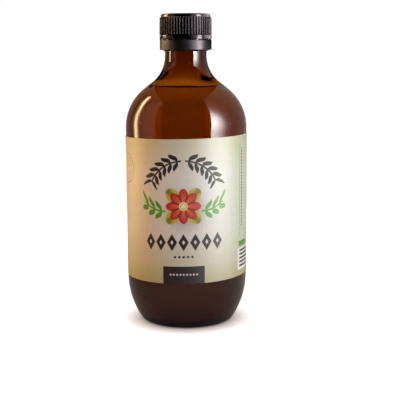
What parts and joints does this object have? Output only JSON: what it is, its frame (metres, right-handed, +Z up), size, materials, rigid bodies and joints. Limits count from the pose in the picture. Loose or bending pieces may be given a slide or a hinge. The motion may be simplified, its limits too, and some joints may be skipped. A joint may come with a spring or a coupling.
{
  "type": "vinegar bottle",
  "caption": "Round amber glass bottle filled with vinegar, with a swept heel, sloping shoulder, paper wrap label and black ribbed screw cap.",
  "frame": {"origin": "middle of the base, on the surface the bottle stands on", "axes": "+Z up along the bottle's axis, -Y towards the label's front, +X to the right when the label is looked at"},
  "size_m": [0.0758, 0.0754, 0.1906],
  "materials": {
    "amber_glass": "clear amber container glass, smooth and glossy",
    "vinegar": "clear golden brown liquid",
    "black_plastic": "satin moulded black plastic",
    "label_paper": "coated label paper with a satin sheen and printed colour"
  },
  "bodies": {
    "root": {"glass_bottle": "amber_glass", "vinegar": "vinegar", "screw_cap": "black_plastic", "tamper_band": "black_plastic", "paper_label": "label_paper"}
  },
  "joints": []
}
